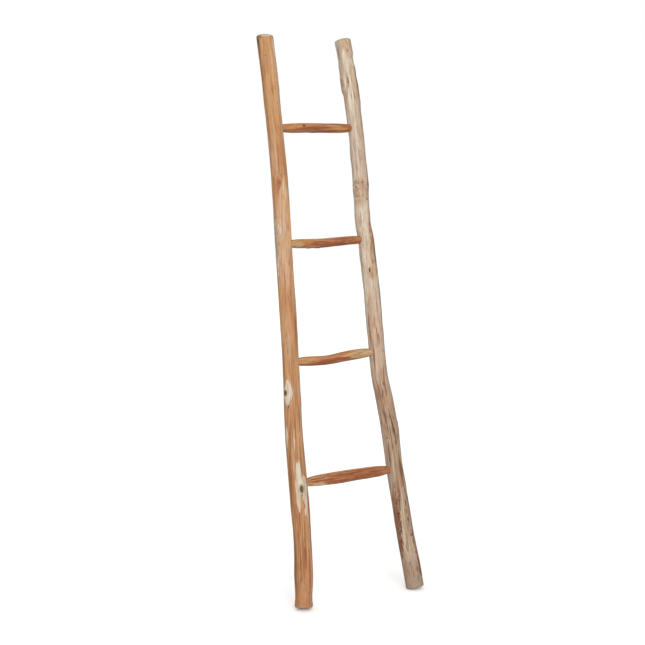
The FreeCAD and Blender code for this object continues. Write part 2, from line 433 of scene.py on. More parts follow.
def keep_tenons_bare(skin):
    """Take off what would keep a tenon out of its mortise."""
    limit = BARE_PROUD * smooth((skin.from_end - BARE_TENON) / BARE_TENON)
    skin.radius = np.minimum(skin.radius, skin.branch.outline + limit)


def keep_inside(skin):
    """Take off the wood that would stand outside the solids' box."""
    places = skin.branch.surface(skin.radius)[..., :2]
    low, high = (np.array(corner)[:2] for corner in cad_box)
    over = np.maximum(places - high, low - places).max(axis=-1) + BOX_MARGIN
    skin.radius -= BOX_OVERCUT * np.clip(over, 0, None)


def slant_top(skin, turn, rise):
    """Saw the top at a slant, higher on one side and as it was on the other."""
    near = smooth((skin.along - skin.branch.length + SLANT_REACH) / SLANT_REACH)
    skin.lift += rise * near * (1 + np.cos(skin.turn - math.radians(turn))) / 2


def round_ends(skin, first_arris, last_arris):
    """Rounded arrises, a little uneven, greyed by handling."""
    arris = np.where(skin.along < skin.branch.length / 2, first_arris, last_arris)
    edge = np.clip(arris - skin.from_end, 0, arris)
    inset = arris - np.sqrt(np.clip(arris ** 2 - edge ** 2, 0, None))
    uneven = 1 + 0.18 * (skin.noise(40 * MM, 7) + 1)
    skin.radius -= inset * uneven
    skin.paint("grey", 0.8 * smooth(1 - skin.from_end / GREY_REACH))


# Meshes


def show(name, data):
    """A new object in the scene."""
    shown = bpy.data.objects.new(name, data)
    bpy.context.scene.collection.objects.link(shown)
    return shown


def store(mesh, name, kind, values):
    """Keep values on a mesh: on its corners for the map, and on its points for all others."""
    if kind == "uv":
        layer = mesh.uv_layers.new(name=name)
    else:
        layer = mesh.attributes.new(name, "FLOAT_VECTOR" if kind == "vector" else "FLOAT", "POINT")
    layer.data.foreach_set(kind, np.array(values, dtype=np.float32).ravel())


def cap_points(branch, rim, last):
    """Rings of a sawn end from its rim to its middle, with saw marks and cracks from the pith."""
    index = -1 if last else 0
    centre = rim.mean(axis=0)
    inwards = -branch.along[index] if last else branch.along[index]
    shares = 1 - np.arange(1, CAP_RINGS + 1) / (CAP_RINGS + 0.4)
    flat = centre + shares[:, None, None] * (rim - centre)[None]
    local = flat - centre
    saw = np.sin((local @ branch.front[index]) / SAW_PITCH + (local @ branch.side[index]) / SAW_DRIFT)
    sink = SAW_DEPTH * (1 + saw)
    for turn, width in END_CRACKS:
        apart = np.abs((branch.turns - turn + math.pi) % FULL_TURN - math.pi)[None, :]
        wedge = np.clip(1 - apart / width, 0, 1) * smooth(1.15 - shares[:, None])
        sink = sink + END_CRACK_DEPTH * wedge * (shares[:, None] > 0.12)
    edge = smooth((1 - shares[:, None]) / 0.12)
    return shares, flat + inwards * (sink * edge)[:, :, None]


def grid_faces(rows, columns, start, flip):
    """Quads between neighbouring rings that are closed round."""
    i = np.arange(rows - 1)[:, None] * columns + start
    j = np.arange(columns)[None, :]
    after = (j + 1) % columns
    corners = [i + j, i + after, i + columns + after, i + columns + j]
    if flip:
        corners = corners[::-1]
    return np.stack([c + 0 * i for c in corners], axis=-1).reshape(-1, 4)


def branch_mesh(name, skin):
    """The dressed branch as one closed mesh, with the grain's place kept on each vertex."""
    branch = skin.branch
    columns = branch.columns
    side = branch.surface(skin.radius) + branch.along[:, None, :] * skin.lift[:, :, None]
    rows = len(branch.places)
    shares, first = cap_points(branch, side[0], False)
    _, last = cap_points(branch, side[-1], True)
    middles = np.stack([first[-1].mean(axis=0), last[-1].mean(axis=0)])
    points = np.concatenate([grid.reshape(-1, 3) for grid in (side, first, last, middles)])
    first_start = rows * columns
    last_start = first_start + CAP_RINGS * columns
    centre_first = last_start + CAP_RINGS * columns
    centre_last = centre_first + 1

    j = np.arange(columns)
    after = (j + 1) % columns
    rim = (rows - 1) * columns
    inner_first = first_start + (CAP_RINGS - 1) * columns
    inner_last = last_start + (CAP_RINGS - 1) * columns
    wall = grid_faces(rows, columns, 0, False)
    caps = np.concatenate([
        np.stack([after, j, first_start + j, first_start + after], axis=-1),
        grid_faces(CAP_RINGS, columns, first_start, True),
        np.stack([rim + j, rim + after, last_start + after, last_start + j], axis=-1),
        grid_faces(CAP_RINGS, columns, last_start, False),
    ])
    fans = np.concatenate([
        np.stack([inner_first + after, inner_first + j, centre_first + 0 * j], axis=-1),
        np.stack([inner_last + j, inner_last + after, centre_last + 0 * j], axis=-1),
    ])
    mesh = bpy.data.meshes.new(name)
    mesh.from_pydata(points.tolist(), [], wall.tolist() + caps.tolist() + fans.tolist())
    store_grain(mesh, skin, shares)
    discs = disc_map(branch, points)
    spots = np.concatenate([wall_map(branch).reshape(-1, 2), discs[caps.ravel()], discs[fans.ravel()]])
    store(mesh, BAKE_MAP, "uv", spots)
    return mesh


def wall_map(branch):
    """Flat places of the wall's corners: strips side by side, each a share of the length."""
    strips = STILE_STRIPS if branch.columns == STILE_COLUMNS else RUNG_STRIPS
    reach = branch.length / strips
    middles = (branch.places[1:] + branch.places[:-1]) / 2
    strip = np.minimum((middles / reach).astype(int), strips - 1)
    low = (branch.places[:-1] - strip * reach) / reach
    high = (branch.places[1:] - strip * reach) / reach
    round_shares = np.arange(branch.columns + 1) / branch.columns
    corners = np.empty((len(middles), branch.columns, 4, 2))
    for corner, (share, offset) in enumerate(((low, 0), (low, 1), (high, 1), (high, 0))):
        column = round_shares[offset:offset + branch.columns]
        corners[:, :, corner, 0] = (strip[:, None] + STRIP_EDGE + (1 - 2 * STRIP_EDGE) * column) / strips
        corners[:, :, corner, 1] = STRIP_LOW + STRIP_HEIGHT * share[:, None]
    return corners


def disc_map(branch, points):
    """Flat places of the sawn ends: two discs above the strips."""
    spots = np.zeros((len(points), 2))
    half = branch.length / 2
    for index, place in zip((0, -1), DISC_PLACES):
        local = points - branch.centres[index]
        near = np.linalg.norm(local, axis=1) < half
        flat = np.stack([local @ branch.front[index], local @ branch.side[index]], axis=1)
        size = DISC_RADIUS / branch.outline[index].max()
        spots[near] = flat[near] * size + (place, DISC_HEIGHT)
    return spots


def spread_to_caps(values):
    """A grid of values carried on over both sawn ends."""
    first = np.repeat(values[:1], CAP_RINGS, axis=0)
    last = np.repeat(values[-1:], CAP_RINGS, axis=0)
    parts = (values.ravel(), first.ravel(), last.ravel(), values[0, :1], values[-1, :1])
    return np.concatenate(parts)


def store_grain(mesh, skin, shares):
    """Keep on each vertex its place in the grown wood and its painted masks."""
    branch = skin.branch
    fade = np.concatenate([
        np.ones(skin.radius.size),
        np.repeat(shares, branch.columns), np.repeat(shares, branch.columns), [0, 0],
    ])
    turned = spread_to_caps(skin.turn + skin.flow)
    radius = spread_to_caps(skin.radius) * fade
    along = spread_to_caps(skin.along)
    sway = PITH_SWAY * along
    across = radius * np.cos(turned) + PITH_WANDER * np.sin(sway)
    deep = radius * np.sin(turned) + PITH_WANDER * np.cos(0.73 * sway + 1)
    store(mesh, "grain", "vector", np.stack([across, deep, along], axis=1))
    for mask in MASKS:
        values = spread_to_caps(skin.masks[mask]) * smooth((fade - 0.7) / 0.3)
        if mask == "end":
            values[skin.radius.size:] = 1
        store(mesh, mask, "value", values)


def bars_mesh(bars):
    """Round bars in one mesh: start, end and radius of each."""
    points, faces, spots = [], [], []
    turns = FULL_TURN * np.arange(BORE_SIDES) / BORE_SIDES
    for index, (start, end, radius) in enumerate(bars):
        front, side = section_axes(unit(end - start))
        ring = radius * (np.cos(turns)[:, None] * front + np.sin(turns)[:, None] * side)
        first = len(points)
        points += (start + ring).tolist() + (end + ring).tolist()
        faces += grid_faces(2, BORE_SIDES, first, False).tolist()
        faces.append(tuple(range(first + BORE_SIDES - 1, first - 1, -1)))
        faces.append(tuple(range(first + BORE_SIDES, first + 2 * BORE_SIDES)))
        edges = BORE_SHARE * np.arange(BORE_SIDES + 1) / BORE_SIDES
        edges = BORE_LEFT + BORE_WIDTH * (index + edges) / len(bars)
        for left, right in zip(edges[:-1], edges[1:]):
            spots += [(left, BORE_LOW), (right, BORE_LOW), (right, BORE_HIGH), (left, BORE_HIGH)]
        disc = BORE_END_RADIUS * np.stack([np.cos(turns), np.sin(turns)], axis=1)
        spots += 2 * (disc + (BORE_END_PLACE, DISC_HEIGHT)).tolist()
    mesh = bpy.data.meshes.new("bore")
    mesh.from_pydata(points, [], faces)
    store(mesh, BAKE_MAP, "uv", spots)
    store(mesh, "grain", "vector", points)
    return mesh


def bore(piece, bars):
    """Take round bars out of a piece."""
    tool = show("bore", bars_mesh(bars))
    tool.data.materials.append(piece.data.materials[0])
    work = piece.modifiers.new("bore", "BOOLEAN")
    work.operation = "DIFFERENCE"
    work.solver = "MANIFOLD"
    work.object = tool
    bored = bpy.data.meshes.new_from_object(piece.evaluated_get(bpy.context.evaluated_depsgraph_get()))
    piece.modifiers.remove(work)
    whole = piece.data
    piece.data = bored
    for mesh in (whole, tool.data):
        bpy.data.meshes.remove(mesh)


def off_line(points, start, axis):
    """How far points are from a line."""
    arms = points - start
    return np.linalg.norm(arms - (arms @ axis)[:, None] * axis, axis=1)


def nail_bars(node):
    """A nail's own hole and the dimple that its head is set in."""
    points = np.array([v.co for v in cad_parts[node].data.vertices])
    middle = points.mean(axis=0)
    axis = np.linalg.svd(points - middle, full_matrices=False)[2][0]
    wide = off_line(points, middle, axis)
    rim = points[wide > 0.9 * wide.max()]
    middle = (rim.min(axis=0) + rim.max(axis=0)) / 2
    tip = points[np.argmax(np.linalg.norm(points - middle, axis=1))]
    axis = unit(tip - middle)
    top = tip + axis * ((points - tip) @ axis).min()
    head = off_line(rim, middle, axis).max()
    thick = np.ptp((rim - middle) @ axis)
    dimple = (top - axis * 3 * head, top + axis * thick, head + NAIL_CLEARANCE)
    shank = off_line(points[(points - top) @ axis > 2 * thick], top, axis).max()
    hole = (top + axis * thick / 2, tip + axis * NAIL_CLEARANCE, shank + NAIL_CLEARANCE)
    return hole, dimple


def mortise_bar(branch, last):
    """The bore in a stile that takes one end of a rung."""
    end, way = (branch.last, branch.last_way) if last else (branch.first, branch.first_way)
    row = -TENON_ROW if last else TENON_ROW
    radius = branch.outline[row].mean() + MORTISE_CLEARANCE
    return end - way * BORE_PAST, end + way * MORTISE_END_GAP, radius


def make_piece(name, skin, material):
    """The dressed branch in the scene, in place of its node."""
    mesh = branch_mesh(name, skin)
    mesh.materials.append(material)
    piece = show(name, mesh)
    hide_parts(skin.branch.node)
    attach(piece, "root")
    return piece


def bore_joints(stiles, rungs):
    """Mortises, nail holes and dimples, and smooth shading with sharp rims."""
    for last, (side, stile) in enumerate(stiles.items()):
        mortises, holes, dimples = [], [], []
        for place, (rung, skin) in rungs.items():
            hole, dimple = nail_bars(f"{place}_{side}_nail")
            mortises.append(mortise_bar(skin.branch, last == 1))
            holes.append(hole)
            dimples.append(dimple)
            bore(rung, [hole])
        bore(stile, mortises + dimples)
        bore(stile, holes)
    for piece in (*stiles.values(), *(rung for rung, skin in rungs.values())):
        piece.data.shade_smooth()
        piece.data.set_sharp_from_angle(angle=math.radians(SHARP_ANGLE))


# Materials


def colour(red, green, blue):
    """A colour as seen on screen, 0 to 255, as the shader's linear numbers."""
    seen = np.array((red, green, blue)) / 255
    linear = np.where(seen <= 0.04045, seen / 12.92, ((seen + 0.055) / 1.055) ** 2.4)
    return (*linear, 1.0)


class Shade:
    """Short calls that add nodes to the tree of a material or of the world."""

    def __init__(self, owner):
        self.owner = owner
        owner.use_nodes = True
        self.tree = owner.node_tree

    def put(self, socket, value):
        if isinstance(value, bpy.types.NodeSocket):
            self.tree.links.new(value, socket)
        else:
            socket.default_value = value

    def add(self, kind, *inputs, **settings):
        node = self.tree.nodes.new(kind)
        for name, value in settings.items():
            setattr(node, name, value)
        for index, value in enumerate(inputs):
            self.put(node.inputs[index], value)
        return node

    def mask(self, name):
        return self.add("ShaderNodeAttribute", attribute_name=name).outputs["Fac"]

    def grain(self):
        return self.add("ShaderNodeAttribute", attribute_name="grain").outputs["Vector"]

    def noise(self, place, stretch, scale, detail):
        """Noise over the grain: scale is in cells to a metre, stretch is for each direction."""
        moved = self.add("ShaderNodeVectorMath", place, stretch, operation="MULTIPLY").outputs[0]
        node = self.add("ShaderNodeTexNoise", moved)
        node.inputs["Scale"].default_value = scale
        node.inputs["Detail"].default_value = detail
        return node.outputs[0]

    def maths(self, operation, first, second=0.0, third=0.0, clamp=False):
        node = self.add("ShaderNodeMath", first, second, third, operation=operation, use_clamp=clamp)
        return node.outputs[0]

    def times(self, first, second):
        return self.maths("MULTIPLY", first, second)

    def plus(self, first, second, clamp=False):
        return self.maths("ADD", first, second, clamp=clamp)

    def steps(self, value, low, high):
        """0 below low, 1 above high."""
        node = self.add("ShaderNodeMapRange", value, low, high, interpolation_type="SMOOTHSTEP")
        return node.outputs[0]

    def mix(self, share, first, second, blend="MIX"):
        node = self.add("ShaderNodeMix", data_type="RGBA", blend_type=blend)
        for index, value in ((0, share), (6, first), (7, second)):
            self.put(node.inputs[index], value)
        return node.outputs[2]

    def seen(self):
        """1 where the camera looks, also in a mirror or through glass, and 0 for light on the ladder."""
        path = self.add("ShaderNodeLightPath").outputs
        straight = self.maths("MAXIMUM", path["Is Camera Ray"], path["Is Glossy Ray"])
        return self.maths("MAXIMUM", straight, path["Is Transmission Ray"])

    def give(self, values):
        """Inputs of a material's shader, by their names."""
        for name, value in values.items():
            self.put(self.tree.nodes["Principled BSDF"].inputs[name], value)

    def bump(self, height, strength, distance):
        node = self.add("ShaderNodeBump")
        for name, value in (("Height", height), ("Strength", strength), ("Distance", distance)):
            self.put(node.inputs[name], value)
        self.give({"Normal": node.outputs[0]})


def wood_material(name, wood, mottle, soft):
    """Peeled wood: fibres, streaks and growth rings that follow the grain, and the painted masks.

    Mottle is the strength of its red and grey patches, and soft how far pale wood fades at its edges.
    """
    shade = Shade(bpy.data.materials.new(name))
    tones = {tone: colour(*columns[wood]) for tone, columns in TONES.items()}
    grain = shade.grain()
    maths, times, plus = shade.maths, shade.times, shade.plus
    steps, mix, painted = shade.steps, shade.mix, shade.mask

    def noise(stretch, scale, detail):
        return shade.noise(grain, (1, 1, stretch), scale, detail)

    def lay(base, *layers):
        """Tones laid over the base in turn, each by its share and its strength."""
        for share, strength, tone in layers:
            base = mix(times(share, strength), base, tones[tone])
        return base

    fibre = noise(0.015, 1000, 2)
    streak = noise(0.025, 330, 3)
    line = noise(0.022, 190, 4)
    band = noise(0.08, 75, 2)
    blotch = noise(0.35, 32, 3)
    patch = noise(0.20, 130, 4)
    flat = shade.add("ShaderNodeVectorMath", grain, (1, 1, 0), operation="MULTIPLY").outputs[0]
    from_pith = shade.add("ShaderNodeVectorMath", flat, operation="LENGTH").outputs["Value"]
    uneven = times(noise(0.25, 90, 2), RING_WAVER)
    rings = maths("FRACT", times(plus(from_pith, uneven), RINGS_TO_METRE))
    late = steps(rings, 0.35, 0.95)
    end = painted("end")
    ridge = maths("ABSOLUTE", maths("SUBTRACT", line, 0.5))
    torn = maths("MULTIPLY_ADD", streak, 1.7, -0.35)
    torn = plus(torn, maths("MULTIPLY_ADD", patch, 1.1, -0.05))

    def ragged(mask, low, high):
        """A painted mask with its edge torn along the grain."""
        return steps(times(painted(mask), torn), low, high)

    base = mix(steps(band, 0.38, 0.62), tones["deep"], tones["light"])
    base = lay(
        base,
        (steps(streak, 0.52, 0.72), 0.8, "bright"),
        (steps(streak, 0.47, 0.28), 0.8, "streak"),
        (steps(blotch, 0.48, 0.68), 0.6, "tinge"),
        (painted("blush"), 0.9, "blush"),
        (painted("warm"), 0.85, "warm"),
        (steps(ridge, 0.030, 0.004), 0.65, "streak"),
        (steps(patch, 0.54, 0.66), mottle, "red"),
        (steps(patch, 0.46, 0.33), mottle, "grey"),
        (ragged("brown_and_shade", 0.22, 0.75), 0.9, "brown_and_shade"),
        (ragged("pale_and_highlight", 0.12, 0.34), 0.40 - 0.36 * soft, "streak"),
    )
    pale_wood = mix(steps(streak, 0.36, 0.62), tones["pale_shade"], tones["pale_and_highlight"])
    pale_wood = lay(pale_wood, (steps(patch, 0.52, 0.70), 0.5, "bright"))
    base = mix(ragged("pale_and_highlight", 0.32 - 0.26 * soft, 0.66 + 0.34 * soft), base, pale_wood)
    base = lay(
        base,
        (ragged("red", 0.22, 0.75), 0.85, "red"),
        (late, plus(0.10, times(end, 0.80)), "ring"),
        (steps(fibre, 0.55, 0.70), 0.32, "streak"),
        (steps(fibre, 0.45, 0.30), 0.26, "bright"),
    )
    # Darkening by its mask: stains, and painted shade on the right stile's flank and foot.
    stain_and_shade = times(painted("stain_and_shade"), steps(band, 0.15, 0.55))
    base = mix(stain_and_shade, base, mix(1.0, base, tones["stain_and_shade"], "MULTIPLY"))
    dull = plus(painted("grey"), times(end, 0.22), clamp=True)
    knot = painted("knot")
    grown = maths("FRACT", times(knot, 7.0))
    base = lay(
        base,
        (dull, steps(blotch, 0.30, 0.62), "grey"),
        (ragged("dark", 0.25, 0.80), 0.9, "dark"),
        (steps(knot, 0.06, 0.26), 1.0, "knot_rim"),
        (steps(knot, 0.30, 0.48), 1.0, "knot"),
        (times(steps(knot, 0.10, 0.30), steps(grown, 0.35, 0.95)), 0.35, "dark"),
    )
    bark_wood = mix(steps(noise(0.6, 420, 4), 0.40, 0.62), tones["dark"], tones["bark"])
    base = mix(ragged("bark", 0.38, 0.60), base, bark_wood)

    greyed = times(dull, steps(blotch, 0.30, 0.62))
    rough = plus(0.56, times(fibre, 0.22))
    rough = plus(rough, times(greyed, 0.12), clamp=True)
    relief = plus(fibre, times(streak, 0.8))
    relief = plus(relief, times(late, -0.25))
    shade.give({"Base Color": base, "Roughness": rough, "Specular IOR Level": 0.3})
    shade.bump(relief, 0.55, 0.5 * MM)
    return shade.owner


def nail_material():
    """Wire-nail steel with a dull, slightly browned face."""
    shade = Shade(bpy.data.materials.new("nail_steel"))
    place = shade.add("ShaderNodeTexCoord").outputs["Object"]
    spots = shade.noise(place, (1, 1, 1), 900, 4)
    base = shade.mix(shade.steps(spots, 0.45, 0.70), colour(150, 150, 150), colour(112, 92, 78))
    rough = shade.plus(0.28, shade.times(spots, 0.3))
    shade.give({"Base Color": base, "Roughness": rough, "Metallic": 1.0})
    shade.bump(spots, 0.3, 0.1 * MM)
    return shade.owner


HEARTWOOD, WEATHERED, RUNG_WOOD = range(3)
TONES = {                    # as seen on screen, for these three woods in turn
    "deep": ((182, 129, 85), (199, 177, 152), (164, 102, 63)),
    "light": ((205, 157, 111), (220, 203, 181), (188, 128, 82)),
    "bright": ((221, 176, 127), (233, 219, 199), (214, 158, 106)),
    "streak": ((148, 97, 61), (154, 126, 103), (126, 73, 45)),
    "tinge": ((197, 137, 96), (205, 178, 154), (176, 105, 64)),
    "blush": ((214, 176, 142), (203, 170, 145), (210, 176, 128)),
    "pale_and_highlight": ((228, 217, 196), (232, 219, 197), (222, 200, 162)),
    "pale_shade": ((205, 192, 168), (212, 193, 166), (202, 174, 132)),
    "warm": ((228, 178, 116), (201, 163, 118), (204, 146, 84)),
    "red": ((172, 102, 68), (162, 106, 76), (144, 74, 45)),
    "brown_and_shade": ((146, 98, 60), (124, 86, 64), (112, 66, 42)),
    "ring": ((146, 96, 62), (168, 138, 112), (140, 88, 58)),
    "grey": ((164, 150, 128), (168, 152, 136), (164, 142, 116)),
    "dark": ((92, 64, 44), (90, 62, 46), (86, 54, 36)),
    "knot_rim": ((166, 140, 114), (150, 112, 84), (136, 90, 62)),
    "knot": ((106, 82, 64), (92, 68, 52), (92, 60, 44)),
    "bark": ((96, 70, 54), (106, 72, 54), (96, 66, 48)),
    # the darkening tone, multiplied in for stains and for painted shade
    "stain_and_shade": ((236, 224, 214), (202, 184, 168), (226, 218, 210)),
}


# The branches of this ladder


def add_leaf(skin, mask, along, turn, length, width, strength, lean=0.0):
    """A long painted patch."""
    patch = skin.leaf(along * MM, turn, length * MM, width * MM, lean)
    skin.paint(mask, strength * patch)
    if mask == "pale_and_highlight":
        skin.radius -= PALE_DEPTH * strength * patch


def add_flecks(skin, mask, along, turn, length, width, count, strength, lean=0.0):
    """Short broken strokes scattered over a long patch."""
    random = skin.random()
    for _ in range(count):
        up = random.uniform(-0.5, 0.5) * length * MM
        aside = random.uniform(-0.5, 0.5) * width * MM + lean * up
        here = turn + math.degrees(aside / skin.girth.mean())
        long = random.uniform(8, 28) * MM
        wide = random.uniform(2.2, 4.5) * MM
        patch = skin.leaf(along * MM + up, here, long, wide, lean)
        skin.paint(mask, strength * random.uniform(0.6, 1.0) * patch)


def add_blotches(skin, mask, along, length, cell, strength):
    """Irregular round blotches all round a short stretch, with cells of about the given size in mm."""
    window = smooth(2 * (1 - np.abs(2 * (skin.along - along * MM) / (length * MM))))
    cells_round = round(FULL_TURN * skin.girth.mean() / (cell * MM))
    spots = skin.noise(cell * MM, cells_round) + 0.5 * skin.noise(0.5 * cell * MM, 2 * cells_round)
    skin.paint(mask, strength * window * smooth(1.6 * spots))


def scatter(skin, turns, knots, checks, streaks):
    """Small knots, cracks and streaks on the sides that hold no marks of their own."""
    random = skin.random()

    def spot(margin):
        """A place in mm, clear of the ends, and a turn."""
        along = random.uniform(margin, 1 - margin) * skin.branch.length / MM
        return along, random.uniform(*turns)

    for _ in range(knots):
        place = spot(0.08)
        size = random.uniform(5, 13)
        add_knot(skin, *place, 1.5 * size, size, 0.08 * size, random.uniform(0.7, 1.0))
    for _ in range(checks):
        add_check(skin, *spot(0.08), random.uniform(40, 150), random.uniform(0.7, 1.3), 1.6)
    for _ in range(streaks):
        along, turn = spot(0.05)
        long = random.uniform(50, 180) * MM
        wide = random.uniform(4, 12) * MM
        mask = ("pale_and_highlight", "warm", "red")[random.integers(3)]
        skin.paint(mask, random.uniform(0.3, 0.8) * skin.leaf(along * MM, turn, long, wide))


def dress(skin, marks, knots, checks=()):
    """A branch's own marks, knots and checks, in the order of their tables."""
    for add, mask, *rows in marks:
        for row in rows:
            add(skin, mask, *row)
    for row in knots:
        add_knot(skin, *row)
    for row in checks:
        add_check(skin, *row)


def below(skin, height, fade):
    """1 on the lowest part of a stile, from 0 at a height in mm."""
    return smooth((height * MM - skin.along) / (fade * MM))


# Rows of the tables, in mm and degrees. All begin with the place along the branch.
# Leaf: turn, length, width, strength, and the lean where it leans. Flecks have a count before the strength.
# Blotches: length, cell, strength. Knot: turn, length, width, rise, tone.
# Check: turn, length, width, depth, lean. Swelling: turn, length, rise. Bark: turn, length, width, lean.
LEFT_MARKS = (
    (add_leaf, "blush", (960, -30, 340, 46, 0.8), (1180, -60, 160, 20, 0.5), (690, -45, 140, 18, 0.4)),
    (add_leaf, "warm", (1420, -20, 320, 46, 0.28), (985, 24, 130, 12, 1), (1082, -7, 100, 13, 1, 0.03),
        (1300, -10, 220, 14, 0.35), (640, 8, 150, 10, 0.2), (760, -60, 180, 12, 0.2, 0.02),
        (150, -10, 220, 10, 0.25)),
    (add_leaf, "brown_and_shade", (1440, -100, 200, 14, 0.8), (1455, -44, 8, 4, 1), (330, -80, 240, 11, 1, 0.08),
        (130, -94, 260, 14, 0.7), (1425, -58, 130, 2.5, 0.5, 0.02), (1350, -45, 120, 2.5, 0.5),
        (1450, -30, 90, 2, 0.5), (430, -60, 150, 4, 0.8, 0.05), (380, -2, 150, 4, 0.8, 0.04),
        (230, -42, 120, 4, 0.8, 0.03), (160, -15, 180, 5, 0.7), (480, 10, 120, 5, 0.8),
        (260, 30, 160, 7, 0.8), (470, -22, 110, 4, 0.8, 0.03), (110, -50, 140, 5, 0.7),
        (1380, -20, 150, 4, 0.6), (1300, -80, 150, 5, 0.7), (720, 20, 200, 5, 0.7),
        (620, -85, 140, 6, 0.7)),
    (add_leaf, "pale_and_highlight", (1475, 30, 70, 6, 0.9), (1092, -9, 76, 8, 0.5, 0.03),
        (1020, -9, 110, 3, 0.7, 0.03), (1078, 3, 60, 3, 0.8, 0.02), (986, -52, 44, 11, 0.45, -0.15),
        (925, -106, 160, 8, 0.75), (895, -80, 70, 5, 0.7), (551, -64, 84, 20, 1, 0.03),
        (560, -40, 66, 5, 1, 0.03), (440, -86, 80, 8, 0.7), (428, -36, 84, 4, 0.75, 0.07),
        (322, -32, 124, 19, 1, 0.05), (345, -18, 84, 8, 1, 0.03), (303, 4, 90, 25, 1, 0.02),
        (278, -36, 84, 11, 1, 0.02), (252, 12, 110, 7, 1, -0.03), (357, -52, 70, 3.5, 1, 0.09),
        (700, -20, 170, 5, 0.15), (1508, -20, 10, 40, 0.8)),
    (add_leaf, "red", (1105, -39, 40, 13, 1), (1100, -46, 70, 8, 0.7), (303, -66, 130, 5, 0.7, 0.09),
        (840, -40, 150, 5, 0.6), (1440, -76, 150, 6, 0.4), (130, -30, 200, 10, 0.7),
        (90, 10, 150, 10, 0.7), (200, 34, 220, 9, 0.7), (180, -60, 160, 6, 0.6, 0.03),
        (1240, -75, 140, 6, 0.5), (1150, 15, 140, 6, 0.6)),
    (add_leaf, "dark", (1498, -102, 46, 14, 0.9), (1503, -62, 10, 4, 0.9), (1506, -70, 8, 4, 0.8),
        (1334, -69, 34, 2.2, 0.8), (517, -62, 10, 4, 1), (287, -15, 10, 4, 0.9)),
    (add_leaf, "grey", (925, -100, 150, 22, 0.7), (303, -14, 40, 20, 0.9), (990, -88, 60, 10, 0.6)),
    (add_flecks, "red", (1100, -50, 76, 40, 26, 0.7)),
    (add_leaf, "brown_and_shade", (1107, -40, 13, 7, 1)),
    (add_leaf, "dark", (1107, -38, 13, 7, 0.7)),
    (add_flecks, "pale_and_highlight", (925, -86, 150, 18, 40, 0.65), (988, -76, 50, 28, 34, 0.75)),
    (add_flecks, "grey", (990, -88, 50, 24, 24, 1)),
    (add_flecks, "pale_and_highlight", (925, -99, 150, 14, 34, 0.7)),
    (add_flecks, "grey", (925, -104, 150, 14, 10, 0.9), (320, -14, 110, 34, 34, 0.6)),
    (add_flecks, "brown_and_shade", (268, 6, 80, 22, 12, 0.6)),
    (add_flecks, "pale_and_highlight", (250, 12, 90, 16, 10, 0.8)),
    (add_flecks, "grey", (551, -66, 70, 22, 22, 0.7)),
    (add_leaf, "blush", (1370, 24, 420, 14, 0.6), (940, 26, 380, 14, 0.5), (560, 24, 360, 14, 0.6),
        (150, 26, 330, 16, 0.7)),
    (add_flecks, "pale_and_highlight", (925, -112, 150, 14, 24, 1)),
    (add_leaf, "blush", (986, -48, 90, 30, 1), (940, -95, 170, 14, 1)),
    (add_flecks, "pale_and_highlight", (984, -52, 60, 30, 16, 0.6)),
)
LEFT_KNOTS = ((1107, -38, 13, 8, 0.7, 0.15), (1455, -44, 5, 4, 0.3, 0), (552, -82, 14, 10, 0.9, 1),
    (303, -14, 19, 9, 1.0, 1))
LEFT_CHECKS = ((1485, -85, 90, 1.3, 2.2), (993, -82, 15, 1.6, 1.5), (913, 4, 100, 0.9, 1.5, 0.02),
    (690, -48, 110, 0.7, 0.8), (130, -20, 120, 0.8, 1.0))

